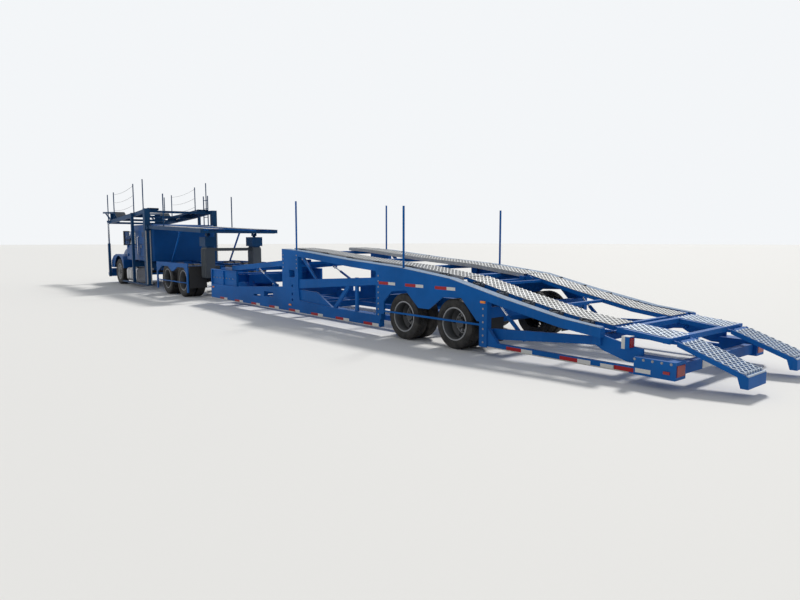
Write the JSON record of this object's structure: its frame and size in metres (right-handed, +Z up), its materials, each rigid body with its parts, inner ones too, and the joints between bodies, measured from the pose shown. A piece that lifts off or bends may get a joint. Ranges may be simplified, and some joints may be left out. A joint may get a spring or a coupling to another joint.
{
  "type": "car transporter truck",
  "caption": "Articulated car transporter: bonneted tractor with a head rack and upper deck over it, and a low trailer with sloping runways and drop-down loading ramps.",
  "frame": {"origin": "centre of the whole vehicle on the floor", "axes": "+X towards the front, +Y to the left (driver) side, +Z up"},
  "size_m": [25.5, 2.8, 3.8597],
  "materials": {
    "black_steel": "satin black",
    "blue_paint": "gloss enamel, a little dulled",
    "cast_grey": "rough",
    "dark_paint": "satin dark blue",
    "galvanised": "galvanised, matt",
    "glass": "clear, slightly tinted",
    "lamp_clear": "clear ribbed lens",
    "lamp_red": "red lens",
    "rim_silver": "satin",
    "rod_chrome": "polished",
    "tank_grey": "brushed",
    "trim_dark": "matt",
    "tyre": "matt"
  },
  "bodies": {
    "tractor": {"chassis_frame": "black_steel", "front_axle": "black_steel", "drive_axles": "black_steel", "engine_block": "cast_grey", "side_tanks": "tank_grey", "cab_shell": "blue_paint", "windscreen": "glass", "cab_interior": "trim_dark", "bumper": "blue_paint", "rack_posts": "dark_paint", "drive_fenders": "blue_paint", "leg_sleeves": "tank_grey"},
    "trailer": {"trailer_side_frames": "blue_paint", "trailer_cross_members": "blue_paint", "trailer_runways": "galvanised", "tail_lamps": "lamp_red"},
    "hood": {"hood": "blue_paint", "grille": "black_steel", "headlamps": "lamp_clear"},
    "head_rack": {"head_rack_frame": "dark_paint", "head_rack_runways": "dark_paint"},
    "rack_lift": {"rack_inner_posts": "dark_paint"},
    "upper_deck": {"upper_deck_frame": "dark_paint", "upper_deck_runways": "galvanised"},
    "deck_lift": {"deck_legs": "blue_paint"},
    "front_deck": {"front_deck": "blue_paint"},
    "front_barrels": {"front_deck_barrels": "dark_paint"},
    "front_rods": {"front_deck_rods": "rod_chrome"},
    "rear_deck": {"rear_deck": "galvanised"},
    "rear_barrels": {"rear_deck_barrels": "dark_paint"},
    "rear_rods": {"rear_deck_rods": "rod_chrome"},
    "tail_deck": {"tail_deck": "blue_paint"},
    "knuckle_left": {"knuckle_left": "black_steel"},
    "steer_wheel_left": {"steer_left_tyre": "tyre", "steer_left_rim": "rim_silver"},
    "door_left": {"door_left": "blue_paint", "door_glass_left": "glass"},
    "ramp_left": {"ramp_left": "galvanised"},
    "drive_wheel_front_left": {"drive_front_left_tyres": "tyre", "drive_front_left_rims": "rim_silver"},
    "trailer_wheel_front_left": {"trailer_front_left_tyres": "tyre", "trailer_front_left_rims": "rim_silver"},
    "drive_wheel_rear_left": {"drive_rear_left_tyres": "tyre", "drive_rear_left_rims": "rim_silver"},
    "trailer_wheel_rear_left": {"trailer_rear_left_tyres": "tyre", "trailer_rear_left_rims": "rim_silver"},
    "knuckle_right": {"knuckle_right": "black_steel"},
    "steer_wheel_right": {"steer_right_tyre": "tyre", "steer_right_rim": "rim_silver"},
    "door_right": {"door_right": "blue_paint", "door_glass_right": "glass"},
    "ramp_right": {"ramp_right": "galvanised"},
    "drive_wheel_front_right": {"drive_front_right_tyres": "tyre", "drive_front_right_rims": "rim_silver"},
    "trailer_wheel_front_right": {"trailer_front_right_tyres": "tyre", "trailer_front_right_rims": "rim_silver"},
    "drive_wheel_rear_right": {"drive_rear_right_tyres": "tyre", "drive_rear_right_rims": "rim_silver"},
    "trailer_wheel_rear_right": {"trailer_rear_right_tyres": "tyre", "trailer_rear_right_rims": "rim_silver"}
  },
  "joints": [
    {"name": "steer_left", "type": "hinge", "parent": "tractor", "child": "knuckle_left", "pos_m": [10.3, 0.86, 0.5], "axis": [0, 0, 1], "range_deg": [-35, 35]},
    {"name": "steer_wheel_spin_left", "type": "hinge", "parent": "knuckle_left", "child": "steer_wheel_left", "pos_m": [10.3, 1.03, 0.5], "axis": [0, 1, 0], "continuous": true},
    {"name": "drive_spin_rear_left", "type": "hinge", "parent": "tractor", "child": "drive_wheel_rear_left", "pos_m": [3.15, 0.975, 0.5], "axis": [0, 1, 0], "continuous": true},
    {"name": "drive_spin_front_left", "type": "hinge", "parent": "tractor", "child": "drive_wheel_front_left", "pos_m": [4.52, 0.975, 0.5], "axis": [0, 1, 0], "continuous": true},
    {"name": "trailer_spin_rear_left", "type": "hinge", "parent": "trailer", "child": "trailer_wheel_rear_left", "pos_m": [-8.55, 1.005, 0.4], "axis": [0, 1, 0], "continuous": true},
    {"name": "trailer_spin_front_left", "type": "hinge", "parent": "trailer", "child": "trailer_wheel_front_left", "pos_m": [-7.32, 1.005, 0.4], "axis": [0, 1, 0], "continuous": true},
    {"name": "door_left", "type": "hinge", "parent": "tractor", "child": "door_left", "pos_m": [9.178, 1.118, 1.34], "axis": [0, 0, -1], "range_deg": [0, 70]},
    {"name": "steer_right", "type": "hinge", "parent": "tractor", "child": "knuckle_right", "pos_m": [10.3, -0.86, 0.5], "axis": [0, 0, 1], "range_deg": [-35, 35]},
    {"name": "steer_wheel_spin_right", "type": "hinge", "parent": "knuckle_right", "child": "steer_wheel_right", "pos_m": [10.3, -1.03, 0.5], "axis": [0, 1, 0], "continuous": true},
    {"name": "drive_spin_rear_right", "type": "hinge", "parent": "tractor", "child": "drive_wheel_rear_right", "pos_m": [3.15, -0.975, 0.5], "axis": [0, 1, 0], "continuous": true},
    {"name": "drive_spin_front_right", "type": "hinge", "parent": "tractor", "child": "drive_wheel_front_right", "pos_m": [4.52, -0.975, 0.5], "axis": [0, 1, 0], "continuous": true},
    {"name": "trailer_spin_rear_right", "type": "hinge", "parent": "trailer", "child": "trailer_wheel_rear_right", "pos_m": [-8.55, -1.005, 0.4], "axis": [0, 1, 0], "continuous": true},
    {"name": "trailer_spin_front_right", "type": "hinge", "parent": "trailer", "child": "trailer_wheel_front_right", "pos_m": [-7.32, -1.005, 0.4], "axis": [0, 1, 0], "continuous": true},
    {"name": "door_right", "type": "hinge", "parent": "tractor", "child": "door_right", "pos_m": [9.178, -1.118, 1.34], "axis": [0, 0, 1], "range_deg": [0, 70]},
    {"name": "trailer_yaw", "type": "hinge", "parent": "tractor", "child": "trailer", "pos_m": [0.5, 0, 0.555], "axis": [0, 0, 1], "range_deg": [-55, 55]},
    {"name": "hood_tilt", "type": "hinge", "parent": "tractor", "child": "hood", "pos_m": [11.48, 0, 0.72], "axis": [0, 1, 0], "range_deg": [0, 25]},
    {"name": "head_rack_lift", "type": "hinge", "parent": "tractor", "child": "head_rack", "pos_m": [6.74, 0, 2.76], "axis": [0, -1, 0], "range_deg": [0, 6]},
    {"name": "rack_post_slide", "type": "slide", "parent": "tractor", "child": "rack_lift", "axis": [0, 0, 1], "range_m": [0, 0.47904]},
    {"name": "upper_deck_lift", "type": "hinge", "parent": "tractor", "child": "upper_deck", "pos_m": [6.35, 0, 2.17], "axis": [0, 1, 0], "range_deg": [0, 8]},
    {"name": "deck_leg_slide", "type": "slide", "parent": "tractor", "child": "deck_lift", "axis": [0, 0, 1], "range_m": [-0.001, 0.55951]},
    {"name": "front_deck_lift", "type": "hinge", "parent": "trailer", "child": "front_deck", "pos_m": [-3.07, 0, 1.19], "axis": [0, -1, 0], "range_deg": [0, 12]},
    {"name": "front_barrel_swing", "type": "hinge", "parent": "trailer", "child": "front_barrels", "pos_m": [-2.55, 0, 0.66], "axis": [0, -1, 0], "range_deg": [-0.1, 14.38]},
    {"name": "front_rod_slide", "type": "slide", "parent": "front_barrels", "child": "front_rods", "axis": [0.9285, 0, 0.3714], "range_m": [-0.001, 0.1506]},
    {"name": "rear_deck_lift", "type": "hinge", "parent": "trailer", "child": "rear_deck", "pos_m": [-8.55, 0, 1.065], "axis": [0, 1, 0], "range_deg": [0, 8]},
    {"name": "rear_barrel_swing", "type": "hinge", "parent": "trailer", "child": "rear_barrels", "pos_m": [-9.8, 0, 0.3], "axis": [0, -1, 0], "range_deg": [-0.1, 8.25]},
    {"name": "rear_rod_slide", "type": "slide", "parent": "rear_barrels", "child": "rear_rods", "axis": [0.7291, 0, 0.6844], "range_m": [-0.001, 0.05723]},
    {"name": "tail_deck_tilt", "type": "hinge", "parent": "rear_deck", "child": "tail_deck", "pos_m": [-11.18, 0, 0.6], "axis": [0, 1, 0], "range_deg": [0, 20]},
    {"name": "ramp_fold_left", "type": "hinge", "parent": "tail_deck", "child": "ramp_left", "pos_m": [-11.95, 0.75, 0.505], "axis": [0, 1, 0], "range_deg": [-6, 110]},
    {"name": "ramp_fold_right", "type": "hinge", "parent": "tail_deck", "child": "ramp_right", "pos_m": [-11.95, -0.75, 0.505], "axis": [0, 1, 0], "range_deg": [-6, 110]}
  ],
  "couplings": [
    {"joint": "steer_right", "follows": "steer_left", "ratio": 1},
    {"joint": "rack_post_slide", "follows": "head_rack_lift", "m_per_rad": 4.565},
    {"joint": "deck_leg_slide", "follows": "upper_deck_lift", "m_per_rad": 4},
    {"joint": "front_barrel_swing", "follows": "front_deck_lift", "ratio": 1.1899},
    {"joint": "front_rod_slide", "follows": "front_deck_lift", "m_per_rad": 0.71428},
    {"joint": "rear_barrel_swing", "follows": "rear_deck_lift", "ratio": 1.019},
    {"joint": "rear_rod_slide", "follows": "rear_deck_lift", "m_per_rad": 0.40271}
  ]
}
